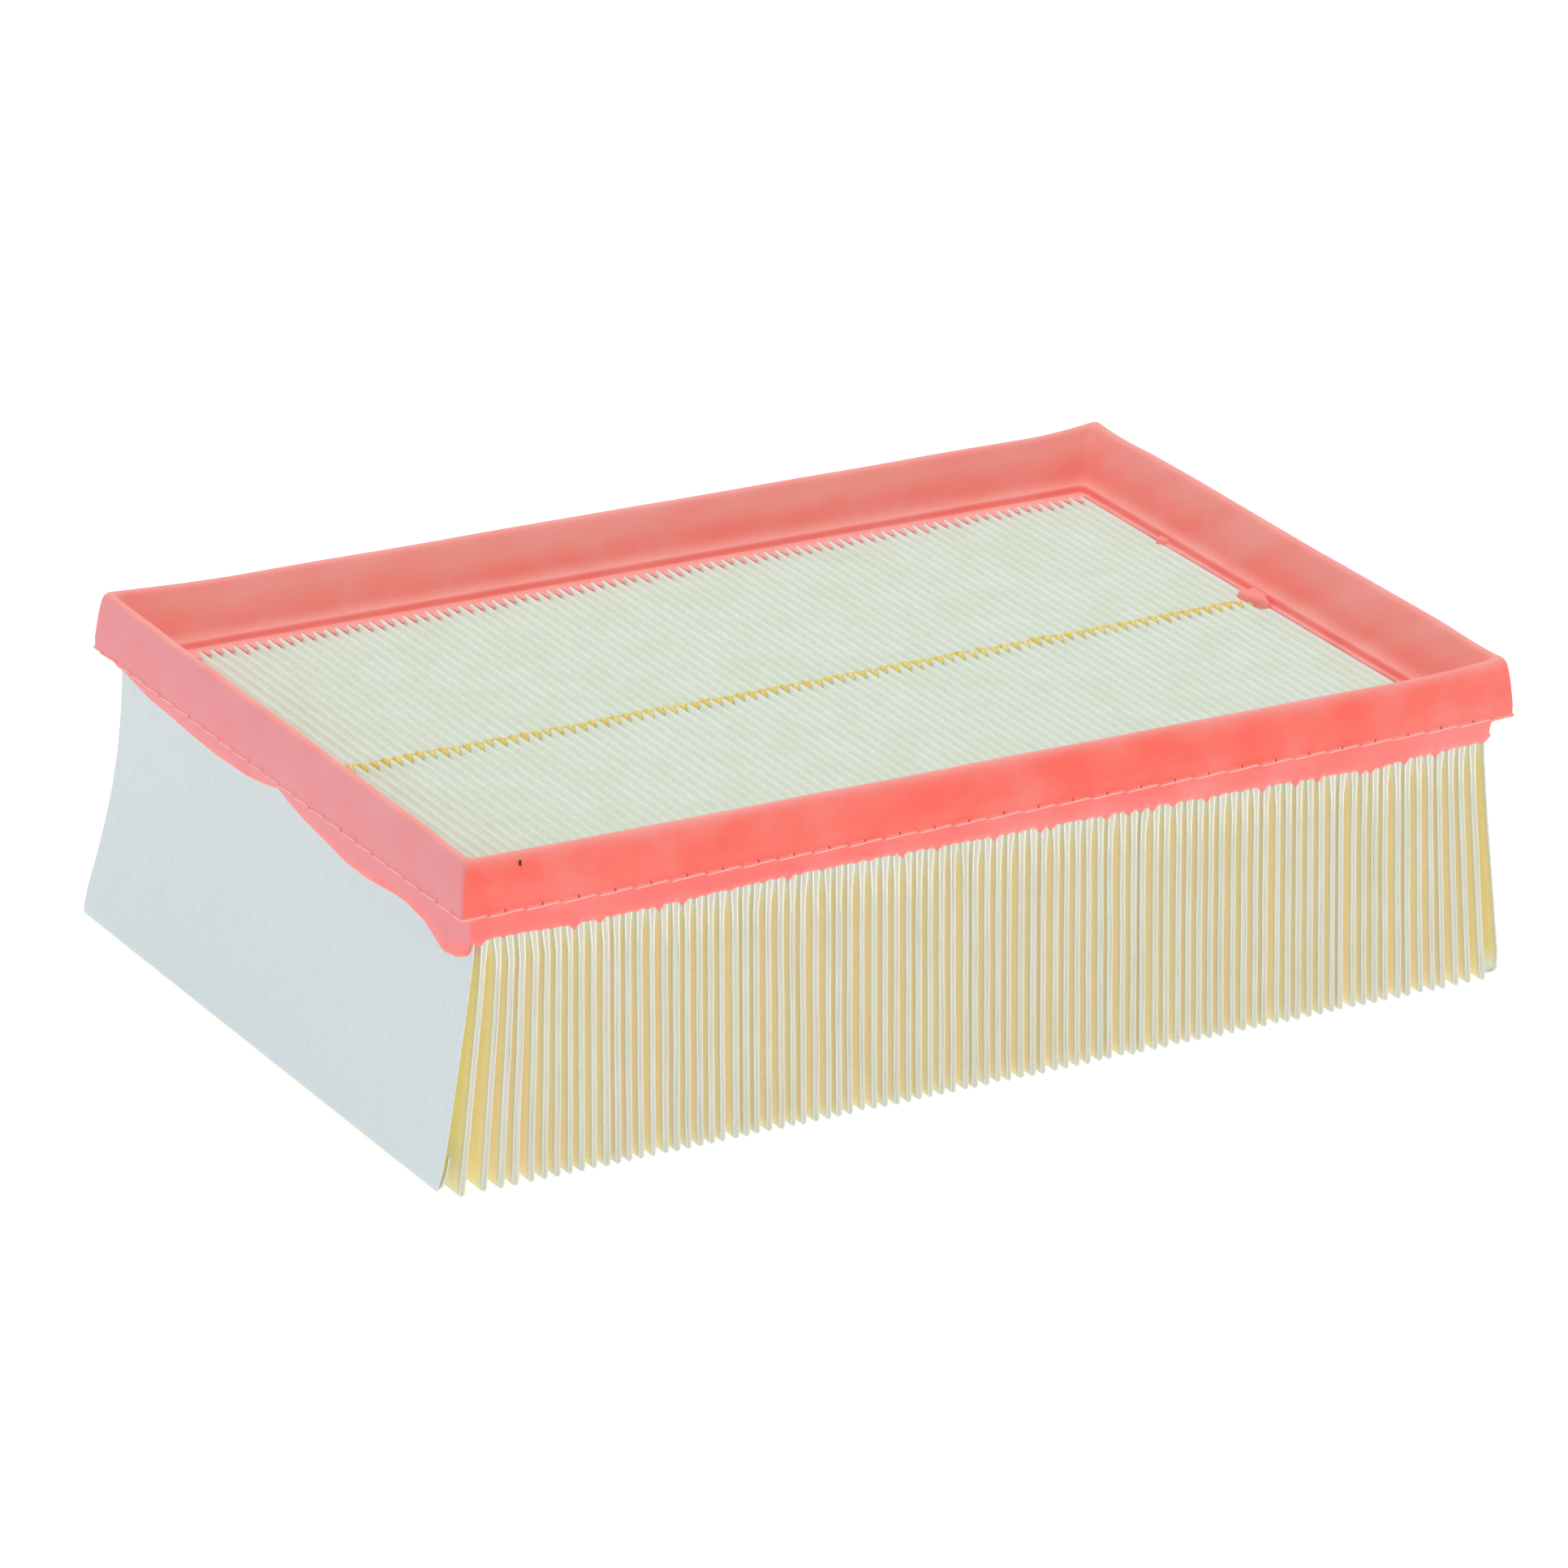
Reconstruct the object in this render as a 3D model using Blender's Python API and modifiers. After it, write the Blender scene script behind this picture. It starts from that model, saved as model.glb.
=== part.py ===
"""Panel air filter: a moulded polyurethane frame around a deep pleated paper pack.

Metres, +Z up. The pack hangs below the frame, its folds run along Y and repeat along X.
Heights in this file are measured from the underside of the paper; the parent empty lifts
the whole filter so that its lowest point, the lower glue bead, lies at Z = 0, and shifts
it along X so that the origin is under the middle of its bounding box.
"""

import math

import bmesh
import bpy
from mathutils import Vector

MM = 0.001
CLEARANCE = 0.3 * MM

# Frame, seen from above
FRAME_LENGTH = 290.0 * MM
FRAME_WIDTH = 194.0 * MM
ARC_STEPS = 4
SIDE_STATIONS = (10.0 * MM, 22.0 * MM, 36.0 * MM)

# Frame, section heights
FLANGE_UNDERSIDE = 70.0 * MM
RIM_TOP = 82.7 * MM
CORNER_LIFT = 2.6 * MM
LIFT_REACH = 34.0 * MM
SKIRT_BOTTOM = 61.4 * MM

# Pleated paper
PLEATS = 88
PITCH = 3.13 * MM
PAPER = 0.4 * MM
PACK_TOP = 68.6 * MM
PACK_DEPTH = 184.4 * MM
TONGUE_BOTTOM = 1.5 * MM
RIDGE_WIDTH = 1.3 * MM

# Below this height the pack is free of the frame, so its pleats spread
FREE_HEIGHT = 60.0 * MM
WIDTH_FLARE = 4.3 * MM
LEFT_LEAN = 6.7 * MM
LEFT_LEANING = 8
RIGHT_LEAN = 4.6 * MM
RIGHT_LEANING = 12

# The sheet ends in a panel at each end of the pack, with a flap turned in at its foot
LEFT_PANEL_LEAN = 10.7 * MM
RIGHT_PANEL_LEAN = 7.5 * MM
FOOT_FLAP = 3.0 * MM

# Glue
EDGE_GLUE_WIDTH = 3.3 * MM
EDGE_GLUE_SPINE = 0.8 * MM
BEAD_WIDTH = 3.4 * MM
BEAD_FILM = 0.5 * MM
BEAD_REACH = 5.0 * MM
TOP_BEAD_PLEATS = 84

HALF_PITCH = PITCH / 2
FIRST_TONGUE = -(PLEATS - 1) / 2 * PITCH
TONGUE_TOP = PITCH - RIDGE_WIDTH
PANEL_TOP = -FIRST_TONGUE + PITCH - TONGUE_TOP / 2
PACK_HALF_LENGTH = PANEL_TOP + PAPER / 2
FRAME_HALF_LENGTH = FRAME_LENGTH / 2
FRAME_HALF_WIDTH = FRAME_WIDTH / 2
CENTRE_SHIFT = (LEFT_PANEL_LEAN - RIGHT_PANEL_LEAN) / 2
LIFT = BEAD_FILM + CLEARANCE

# How far the pack's faces lie inside the frame's outline, along X and along Y
PACK_INSET_X = FRAME_HALF_LENGTH - PACK_HALF_LENGTH
PACK_INSET_Y = FRAME_HALF_WIDTH - PACK_DEPTH / 2


def frame_sections():
    """The moulding's section as (inset along X, inset along Y, height, corner radius)."""
    seat = PACK_TOP + CLEARANCE
    groove_top = seat + EDGE_GLUE_SPINE + 0.2 * MM
    pocket_x = PACK_INSET_X - CLEARANCE
    pocket_y = PACK_INSET_Y - CLEARANCE
    groove_x = PACK_INSET_X + PAPER + 2 * CLEARANCE
    groove_y = PACK_INSET_Y + EDGE_GLUE_WIDTH + 3 * CLEARANCE
    outside = [
        (0.4, 0.4, FLANGE_UNDERSIDE / MM, 3.6),
        (0.0, 0.0, FLANGE_UNDERSIDE / MM + 0.5, 4.0),
        (1.7, 1.7, RIM_TOP / MM - 1.5, 3.2),
        (2.2, 2.2, RIM_TOP / MM - 0.4, 3.0),
        (3.2, 3.2, RIM_TOP / MM, 3.0),
        (4.3, 4.3, RIM_TOP / MM - 0.4, 3.0),
        (5.1, 5.1, RIM_TOP / MM - 1.7, 3.4),
        (10.0, 10.0, 72.2, 5.0),
        (10.9, 10.9, 70.6, 4.5),
        (12.0, 12.0, 69.9, 4.0),
        (12.6, 12.6, 69.4, 3.4),
    ]
    sections = [(x * MM, y * MM, z * MM, radius * MM) for x, y, z, radius in outside]
    sections += [
        (12.6 * MM, 12.6 * MM, seat, 3.4 * MM),
        (groove_x, groove_y, seat, 0.8 * MM),
        (groove_x, groove_y, groove_top, 0.8 * MM),
        (pocket_x, pocket_y, groove_top, 0.8 * MM),
        (pocket_x, pocket_y, SKIRT_BOTTOM + 0.4 * MM, 0.8 * MM),
        (pocket_x - 0.5 * MM, pocket_y - 0.5 * MM, SKIRT_BOTTOM, 1.2 * MM),
        (4.6 * MM, 2.9 * MM, SKIRT_BOTTOM + 2.2 * MM, 2.0 * MM),
        (4.6 * MM, 2.9 * MM, FLANGE_UNDERSIDE - 2.8 * MM, 2.0 * MM),
        (3.4 * MM, 2.2 * MM, FLANGE_UNDERSIDE, 2.6 * MM),
    ]
    return sections


def corner_lift(x, y, height):
    """The rim rises towards each corner; the flange below it stays level."""
    along_x = FRAME_HALF_LENGTH - abs(x)
    along_y = FRAME_HALF_WIDTH - abs(y)
    near = max(0.0, 1.0 - max(along_x, along_y) / LIFT_REACH)
    share = max(0.0, (height - FLANGE_UNDERSIDE) / (RIM_TOP - FLANGE_UNDERSIDE))
    return CORNER_LIFT * share * near * near


def rounded_rectangle(half_x, half_y, radius, height):
    """Points of one section's outline, anticlockwise from the +X side's lower corner."""
    points = []
    for quarter in range(4):
        sign_x = (1, -1, -1, 1)[quarter]
        sign_y = (1, 1, -1, -1)[quarter]
        centre = Vector((sign_x * (half_x - radius), sign_y * (half_y - radius), height))
        for step in range(ARC_STEPS + 1):
            angle = math.radians(90) * (quarter + step / ARC_STEPS)
            points.append(centre + radius * Vector((math.cos(angle), math.sin(angle), 0)))
        # The side that follows this corner runs along X after an even quarter
        ahead = Vector((-sign_x, 0, 0)) if quarter % 2 == 0 else Vector((0, -sign_y, 0))
        length = 2 * (half_x - radius if quarter % 2 == 0 else half_y - radius)
        corner_end = points[-1].copy()
        inset = radius
        ways = [station - inset for station in SIDE_STATIONS]
        ways += [length - way for way in reversed(ways)]
        points += [corner_end + ahead * way for way in ways]
    for point in points:
        point.z += corner_lift(point.x, point.y, height)
    return points


def new_object(name, mesh, material, collection, parent):
    piece = bpy.data.objects.new(name, mesh)
    collection.objects.link(piece)
    piece.data.materials.append(material)
    piece.parent = parent
    return piece


def polyurethane_frame(material, collection, parent):
    """A closed loft through the sections, taken once round the moulding's profile."""
    shape = bmesh.new()
    rings = []
    for inset_x, inset_y, height, radius in frame_sections():
        outline = rounded_rectangle(
            FRAME_HALF_LENGTH - inset_x, FRAME_HALF_WIDTH - inset_y, radius, height
        )
        rings.append([shape.verts.new(point) for point in outline])
    for ring, following in zip(rings, rings[1:] + rings[:1]):
        for index, corner in enumerate(ring):
            after = (index + 1) % len(ring)
            shape.faces.new((corner, ring[after], following[after], following[index]))
    bmesh.ops.recalc_face_normals(shape, faces=shape.faces)
    mesh = bpy.data.meshes.new("polyurethane_frame")
    shape.to_mesh(mesh)
    shape.free()
    mesh.shade_smooth()
    mesh.set_sharp_from_angle(angle=math.radians(40))
    return new_object("polyurethane_frame", mesh, material, collection, parent)


def tongue_centre(index):
    return FIRST_TONGUE + index * PITCH


def lean(index):
    """How far a tongue's tip leans out along X: only the first and last few do."""
    left = max(0.0, 1.0 - index / LEFT_LEANING)
    right = max(0.0, 1.0 - (PLEATS - 1 - index) / RIGHT_LEANING)
    return RIGHT_LEAN * right * right - LEFT_LEAN * left * left


def tongue_half_width(height):
    """Half the distance between a tongue's two paper centre lines."""
    share = height / PACK_TOP
    return (TONGUE_BOTTOM + (TONGUE_TOP - TONGUE_BOTTOM) * share) / 2


def flared(half_depth, height):
    """Half the pack's depth along Y, wider towards the free tips."""
    share = max(0.0, 1.0 - height / FREE_HEIGHT)
    return half_depth + WIDTH_FLARE * share


def panel_line(side, panel_lean):
    """An end panel's centre line, from the flap at its foot up to the ridge beside it."""
    top = side * PANEL_TOP
    foot = top + side * panel_lean
    return [
        (foot - side * FOOT_FLAP, PAPER / 2),
        (foot, PAPER / 2),
        (top, FREE_HEIGHT),
        (top, PACK_TOP - PAPER / 2),
    ]


def paper_line():
    """The folded sheet's centre line in the XZ plane, from the left end to the right."""
    ridge = PACK_TOP - PAPER / 2
    tip = PAPER / 2
    points = panel_line(-1, LEFT_PANEL_LEAN)
    for index in range(PLEATS):
        centre = tongue_centre(index)
        for side, heights in ((-1, (ridge, FREE_HEIGHT, tip)), (1, (tip, FREE_HEIGHT, ridge))):
            for height in heights:
                shift = lean(index) if height < FREE_HEIGHT else 0.0
                points.append((centre + side * tongue_half_width(height) + shift, height))
    return points + panel_line(1, RIGHT_PANEL_LEAN)[::-1]


def pleated_media(material, collection, parent):
    """One sheet folded to and fro: an open ribbon along the fold line, given a thickness."""
    shape = bmesh.new()
    rows = []
    for x, height in paper_line():
        half = flared(PACK_DEPTH / 2, height)
        rows.append((shape.verts.new((x, -half, height)), shape.verts.new((x, half, height))))
    for row, following in zip(rows, rows[1:]):
        shape.faces.new((row[0], following[0], following[1], row[1]))
    mesh = bpy.data.meshes.new("pleated_media")
    shape.to_mesh(mesh)
    shape.free()
    sheet = new_object("pleated_media", mesh, material, collection, parent)
    thickness = sheet.modifiers.new("paper", "SOLIDIFY")
    thickness.thickness = PAPER
    thickness.offset = 0.0
    thickness.use_even_offset = True
    return sheet


def comb(name, outline, width, y, material, collection, parent):
    """A flat comb: the outline in the XZ plane, filled and extruded to its width along Y."""
    curve = bpy.data.curves.new(name, "CURVE")
    curve.dimensions = "2D"
    curve.fill_mode = "BOTH"
    curve.extrude = width / 2
    spline = curve.splines.new("POLY")
    spline.points.add(len(outline) - 1)
    for point, (x, height) in zip(spline.points, outline):
        point.co = (x, height, 0.0, 1.0)
    spline.use_cyclic_u = True
    piece = new_object(name, curve, material, collection, parent)
    piece.location = (0.0, y, 0.0)
    piece.rotation_euler = (math.radians(90), 0.0, 0.0)
    return piece


def edge_glue_outline():
    """A spine over the ridges with one long tooth down inside every tongue."""
    spine_bottom = PACK_TOP + CLEARANCE
    spine_top = spine_bottom + EDGE_GLUE_SPINE - 0.1 * MM
    tip = PAPER + CLEARANCE
    reach = tongue_centre(PLEATS - 1) + HALF_PITCH - RIDGE_WIDTH / 2 - PAPER / 2 - CLEARANCE
    outline = [(reach, spine_top), (-reach, spine_top)]
    for index in range(PLEATS):
        centre = tongue_centre(index)
        shift = lean(index)
        heights = (spine_bottom, FREE_HEIGHT, tip) if shift else (spine_bottom, tip)
        for side, order in ((-1, heights), (1, heights[::-1])):
            for height in order:
                half = tongue_half_width(height) - PAPER / 2 - CLEARANCE
                moved = shift if height < FREE_HEIGHT else 0.0
                outline.append((centre + side * half + moved, height))
    return outline


def top_bead_outline():
    """The bead lies on the ridges and sinks a little way into each open pocket."""
    spine_bottom = PACK_TOP + CLEARANCE
    spine_top = spine_bottom + BEAD_FILM
    skipped = (PLEATS - TOP_BEAD_PLEATS) // 2
    tongues = range(skipped, PLEATS - skipped)
    half = tongue_half_width(PACK_TOP - BEAD_REACH) - PAPER / 2 - CLEARANCE
    outline = [
        (tongue_centre(tongues[-1]) + half, spine_top),
        (tongue_centre(tongues[0]) - half, spine_top),
    ]
    for index in tongues:
        centre = tongue_centre(index)
        outline += [
            (centre - half, spine_bottom),
            (centre - half, PACK_TOP - BEAD_REACH),
            (centre + half, PACK_TOP - BEAD_REACH),
            (centre + half, spine_bottom),
        ]
    return outline


def bottom_bead_outline():
    """The same bead under the tips, rising into the gaps between upright tongues."""
    spine_top = -CLEARANCE
    spine_bottom = spine_top - BEAD_FILM
    gaps = range(LEFT_LEANING, PLEATS - RIGHT_LEANING - 1)
    half = HALF_PITCH - tongue_half_width(0.0) - PAPER / 2 - CLEARANCE
    outline = [
        (tongue_centre(gaps[0]) + HALF_PITCH - half, spine_bottom),
        (tongue_centre(gaps[-1]) + HALF_PITCH + half, spine_bottom),
    ]
    for index in reversed(gaps):
        centre = tongue_centre(index) + HALF_PITCH
        outline += [
            (centre + half, spine_top),
            (centre + half, BEAD_REACH),
            (centre - half, BEAD_REACH),
            (centre - half, spine_top),
        ]
    return outline


def principled(name, color, roughness):
    material = bpy.data.materials.new(name)
    material.use_nodes = True
    shader = material.node_tree.nodes["Principled BSDF"]
    shader.inputs["Base Color"].default_value = (*color, 1.0)
    shader.inputs["Roughness"].default_value = roughness
    shader.inputs["Metallic"].default_value = 0.0
    return material


def build():
    for item in list(bpy.data.objects):
        bpy.data.objects.remove(item, do_unlink=True)
    collection = bpy.data.collections.new("air_filter")
    bpy.context.scene.collection.children.link(collection)
    base = bpy.data.objects.new("air_filter", None)
    base.location = (CENTRE_SHIFT, 0.0, LIFT)
    collection.objects.link(base)

    foam = principled("coral_polyurethane", (0.90, 0.20, 0.14), 0.65)
    paper = principled("filter_paper", (0.78, 0.82, 0.68), 0.85)
    bead = principled("hot_melt", (0.80, 0.60, 0.12), 0.35)
    seam = principled("edge_glue", (0.84, 0.84, 0.76), 0.5)

    polyurethane_frame(foam, collection, base)
    pleated_media(paper, collection, base)
    comb("top_glue_bead", top_bead_outline(), BEAD_WIDTH, 0.0, bead, collection, base)
    comb("bottom_glue_bead", bottom_bead_outline(), BEAD_WIDTH, 0.0, bead, collection, base)
    seam_y = PACK_DEPTH / 2 - CLEARANCE - EDGE_GLUE_WIDTH / 2
    outline = edge_glue_outline()
    comb("front_edge_glue", outline, EDGE_GLUE_WIDTH, -seam_y, seam, collection, base)
    comb("rear_edge_glue", outline, EDGE_GLUE_WIDTH, seam_y, seam, collection, base)


build()
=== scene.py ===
"""Looks of a rectangular panel air filter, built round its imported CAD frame.

Lengths in this file are in millimetres from the middle of the frame's plan, with heights
from the underside of the paper, and place() turns them into the frame's metres.
"""

import math

import bmesh
import bpy
import numpy as np
from mathutils import Matrix, Vector


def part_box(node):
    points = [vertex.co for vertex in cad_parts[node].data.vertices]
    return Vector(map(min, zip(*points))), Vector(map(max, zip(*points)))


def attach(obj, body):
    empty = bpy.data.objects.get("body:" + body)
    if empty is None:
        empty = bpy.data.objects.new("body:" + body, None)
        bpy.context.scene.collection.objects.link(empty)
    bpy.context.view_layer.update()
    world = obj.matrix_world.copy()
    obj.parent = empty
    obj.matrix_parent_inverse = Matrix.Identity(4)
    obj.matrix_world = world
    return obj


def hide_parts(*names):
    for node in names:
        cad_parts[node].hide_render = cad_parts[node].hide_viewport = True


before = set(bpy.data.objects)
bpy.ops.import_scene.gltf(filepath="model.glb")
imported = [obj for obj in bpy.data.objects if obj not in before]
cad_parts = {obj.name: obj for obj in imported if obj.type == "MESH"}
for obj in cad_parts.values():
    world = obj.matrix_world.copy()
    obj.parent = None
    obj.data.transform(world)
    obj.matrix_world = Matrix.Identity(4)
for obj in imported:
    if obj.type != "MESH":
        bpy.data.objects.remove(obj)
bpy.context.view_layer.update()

MM = 0.001
RANDOM_SEED = 11

# Places and sizes that the CAD frame gives
FOAM_LOW, FOAM_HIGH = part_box("polyurethane_frame")
PAPER_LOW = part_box("pleated_media")[0]
CENTRE_X = (FOAM_LOW.x + FOAM_HIGH.x) / 2
BASE_Z = PAPER_LOW.z
HALF_LENGTH = (FOAM_HIGH.x - FOAM_LOW.x) / 2 / MM
HALF_WIDTH = (FOAM_HIGH.y - FOAM_LOW.y) / 2 / MM

# Pleated paper
PLEATS = 88
PITCH = 3.13
PAPER = 0.42
RIDGE_TOP = 68.6
TONGUE_TIP_HALF = 0.56
TONGUE_TOP_HALF = 0.93
PACK_HALF_DEPTH = 92.2
FREE_HEIGHT = 60.5
TIP_DROP = 0.65
DEPTH_FLARE = 3.4
LEAN_POWER = 1.12
LEFT_PANEL_LEAN, RIGHT_PANEL_LEAN = -10.3, 6.3
TOP_BEAD_TONGUES = range(2, PLEATS - 2)
BOTTOM_BEAD_TONGUES = range(8, PLEATS - 12)

# Foam moulding
PARTING_HEIGHT = 69.5
CREST_HEIGHT = 82.7
SKIRT_EDGE_HEIGHT = 61.6
NUB_SPACING = 9.507
END_NUB_SPACING = 8.0
EDGE_HALF_SHARE = 0.45
BLEED_SHARES = {"bleed_root": 0.0, "bleed_half": 0.55, "bleed_tip": 1.0}

# Camera, as it stands to the filter
CAMERA_AZIMUTH = math.radians(-30.36)
CAMERA_ELEVATION = math.radians(22.0)
CAMERA_ROLL = math.radians(1.55)
CAMERA_DISTANCE = 2190.4
CAMERA_TARGET = (-3.9, 0.0, 42.8)
CAMERA_LENS = 205.06
SENSOR = 36.0


def place(points):
    """Millimetres from the middle of the frame's plan to metres in the CAD frame."""
    return np.asarray(points, float) * MM + np.array([CENTRE_X, 0.0, BASE_Z])


def smooth_step(value, low, high):
    """0 up to low, 1 from high on, and a smooth rise between."""
    t = np.clip((value - low) / (high - low), 0.0, 1.0)
    return t * t * (3 - 2 * t)


def wave_noise(x, y, seed, count=6, longest=60.0, shortest=12.0):
    """Smooth noise between about -1 and 1: a few sine waves in random directions."""
    draw = np.random.default_rng(seed)
    total = np.zeros(np.broadcast(x, y).shape)
    for index in range(count):
        length = longest * (shortest / longest) ** (index / max(1, count - 1))
        angle, phase = draw.uniform(0, 2 * math.pi, 2)
        along = (x * math.cos(angle) + y * math.sin(angle)) / length
        total += np.sin(2 * math.pi * along + phase) / count
    return total * 1.6


# ------------------------------------------------------------------ mesh helpers


def grid_faces(rows, columns, wrap_rows, wrap_columns):
    """Quads over a grid of points that is numbered row by row."""
    row = np.arange(rows if wrap_rows else rows - 1)
    column = np.arange(columns if wrap_columns else columns - 1)
    row, column = (part.ravel() for part in np.meshgrid(row, column, indexing="ij"))
    next_row, next_column = (row + 1) % rows, (column + 1) % columns
    corners = (
        row * columns + column,
        row * columns + next_column,
        next_row * columns + next_column,
        next_row * columns + column,
    )
    return np.stack(corners, axis=1)


def new_piece(name, points, faces, material, replaced=(), smooth_angle=50.0):
    """A closed mesh object from points in millimetres, riding on the filter's one body."""
    mesh = bpy.data.meshes.new(name)
    mesh.from_pydata(place(points).tolist(), [], [list(map(int, face)) for face in faces])
    mesh.materials.append(material)
    mesh.update()
    if signed_volume(mesh) < 0:
        mesh.flip_normals()
    mesh.shade_smooth()
    mesh.set_sharp_from_angle(angle=math.radians(smooth_angle))
    piece = bpy.data.objects.new(name, mesh)
    bpy.context.scene.collection.objects.link(piece)
    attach(piece, "root")
    if replaced:
        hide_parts(*replaced)
    return piece


def signed_volume(mesh):
    """Six times the volume, which is negative where the faces point inwards."""
    mesh.calc_loop_triangles()
    points = np.empty(len(mesh.vertices) * 3)
    mesh.vertices.foreach_get("co", points)
    corners = np.empty(len(mesh.loop_triangles) * 3, int)
    mesh.loop_triangles.foreach_get("vertices", corners)
    a, b, c = points.reshape(-1, 3)[corners.reshape(-1, 3)].transpose(1, 0, 2)
    return float(np.einsum("ij,ij->i", a, np.cross(b, c)).sum())


def store_value(piece, name, values):
    """One number per vertex, for the piece's material to read."""
    attribute = piece.data.attributes.new(name, "FLOAT", "POINT")
    attribute.data.foreach_set("value", np.asarray(values, float).ravel())


class Blobs:
    """Closed shapes gathered into one mesh."""

    def __init__(self):
        self.points = []
        self.faces = []
        self.count = 0

    def add(self, points, faces):
        self.points.append(np.asarray(points, float))
        self.faces += [[int(v) + self.count for v in face] for face in faces]
        self.count += len(points)

    def add_ellipsoid(self, centre, radii, segments, rings):
        shape = bmesh.new()
        bmesh.ops.create_uvsphere(shape, u_segments=segments, v_segments=rings, radius=1.0)
        points = np.array([v.co for v in shape.verts]) * radii
        faces = [[v.index for v in face.verts] for face in shape.faces]
        shape.free()
        self.add(points + centre, faces)

    def add_loft(self, sections):
        """A tube through sections of the same number of points, with its ends filled."""
        sections = np.asarray(sections, float)
        rows, columns = sections.shape[:2]
        faces = [list(face) for face in grid_faces(rows, columns, False, True)]
        faces.append(list(range(columns))[::-1])
        faces.append([(rows - 1) * columns + index for index in range(columns)])
        self.add(sections.reshape(-1, 3), faces)

    def piece(self, name, material, slot, replaced=()):
        return new_piece(name, np.concatenate(self.points), self.faces, material, replaced)


# ------------------------------------------------------------------ materials


def new_material(name):
    material = bpy.data.materials.new(name)
    material.use_nodes = True
    nodes = material.node_tree.nodes
    return material, nodes, material.node_tree.links, nodes["Principled BSDF"]


def noise(nodes, links, coordinates, scale, detail=4.0, roughness=0.55):
    texture = nodes.new("ShaderNodeTexNoise")
    texture.inputs["Scale"].default_value = scale
    texture.inputs["Detail"].default_value = detail
    texture.inputs["Roughness"].default_value = roughness
    links.new(coordinates, texture.inputs["Vector"])
    return texture.outputs["Fac"]


def stretched(nodes, links, coordinates, scale):
    mapping = nodes.new("ShaderNodeMapping")
    mapping.inputs["Scale"].default_value = scale
    links.new(coordinates, mapping.inputs["Vector"])
    return mapping.outputs["Vector"]


def ramp(nodes, links, value, stops):
    node = nodes.new("ShaderNodeValToRGB")
    elements = node.color_ramp.elements
    elements[0].position, elements[0].color = stops[0][0], (*stops[0][1], 1)
    elements[1].position, elements[1].color = stops[-1][0], (*stops[-1][1], 1)
    for position, color in stops[1:-1]:
        elements.new(position).color = (*color, 1)
    links.new(value, node.inputs["Fac"])
    return node.outputs["Color"]


def blend_colors(nodes, links, factor, first, second):
    """first where factor is 0, second where it is 1. second may be a colour or a socket."""
    mix = nodes.new("ShaderNodeMix")
    mix.data_type = "RGBA"
    links.new(factor, mix.inputs["Factor"])
    links.new(first, mix.inputs["A"])
    if isinstance(second, tuple):
        mix.inputs["B"].default_value = (*second, 1)
    else:
        links.new(second, mix.inputs["B"])
    return mix.outputs["Result"]


def attribute(nodes, name):
    node = nodes.new("ShaderNodeAttribute")
    node.attribute_name = name
    return node.outputs["Fac"]


def add_bump(nodes, links, shader, height, strength, distance, after=None):
    bump = nodes.new("ShaderNodeBump")
    bump.inputs["Strength"].default_value = strength
    bump.inputs["Distance"].default_value = distance
    links.new(height, bump.inputs["Height"])
    if after is not None:
        links.new(after, bump.inputs["Normal"])
    links.new(bump.outputs["Normal"], shader.inputs["Normal"])
    return bump.outputs["Normal"]


def object_coordinates(nodes):
    return nodes.new("ShaderNodeTexCoord").outputs["Object"]


def foam_material():
    """Soft moulded polyurethane: mottled coral, paler on the crest as painted highlight, redder in the
    grooves as painted shade, with painted bluish light on the left end.
    """
    material, nodes, links, shader = new_material("coral_polyurethane")
    place_on = object_coordinates(nodes)
    mottle = noise(nodes, links, place_on, 55.0, 5.0, 0.6)
    body = ramp(
        nodes, links, mottle,
        [(0.36, (0.96, 0.128, 0.092)), (0.50, (0.94, 0.160, 0.120)), (0.64, (0.92, 0.205, 0.170))],
    )
    # Painted highlight: paler on the crest, the top of the inside wall, the ledge ridge, the parting-line
    # lip and the nub ticks, also the paler foam fingers over the pleats; the pale patches of bloom are the
    # foam's own
    paler = blend_colors(nodes, links, attribute(nodes, "pale"), body, (0.96, 0.40, 0.36))
    # Painted shade: dark red in the grooves, under the ledge and under the flange
    color = blend_colors(nodes, links, attribute(nodes, "painted_shade"), paler, (0.95, 0.075, 0.050))
    # Painted light: a bluish veil on the left end's outer wall; painted shade makes the front skirt pinker
    painted_cool_light = blend_colors(nodes, links, attribute(nodes, "painted_cool_light"), color, (0.62, 0.30, 0.36))
    links.new(painted_cool_light, shader.inputs["Base Color"])
    grain = noise(nodes, links, place_on, 900.0, 3.0, 0.6)
    rough = nodes.new("ShaderNodeMapRange")
    rough.inputs["To Min"].default_value = 0.58
    rough.inputs["To Max"].default_value = 0.78
    links.new(grain, rough.inputs["Value"])
    links.new(rough.outputs["Result"], shader.inputs["Roughness"])
    shader.inputs["Sheen Weight"].default_value = 0.25
    shader.inputs["Sheen Roughness"].default_value = 0.45
    shader.inputs["Sheen Tint"].default_value = (1.0, 0.86, 0.90, 1)
    shader.inputs["Subsurface Weight"].default_value = 0.12
    shader.inputs["Subsurface Radius"].default_value = (1.0, 0.25, 0.2)
    shader.inputs["Subsurface Scale"].default_value = 0.0012
    first = add_bump(nodes, links, shader, grain, 0.25, 0.00006)
    add_bump(nodes, links, shader, mottle, 0.35, 0.0003, first)
    return material


# Strength of the paper's painted light, by emission
PAINTED_GLOW_STRENGTH = 0.275


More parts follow.
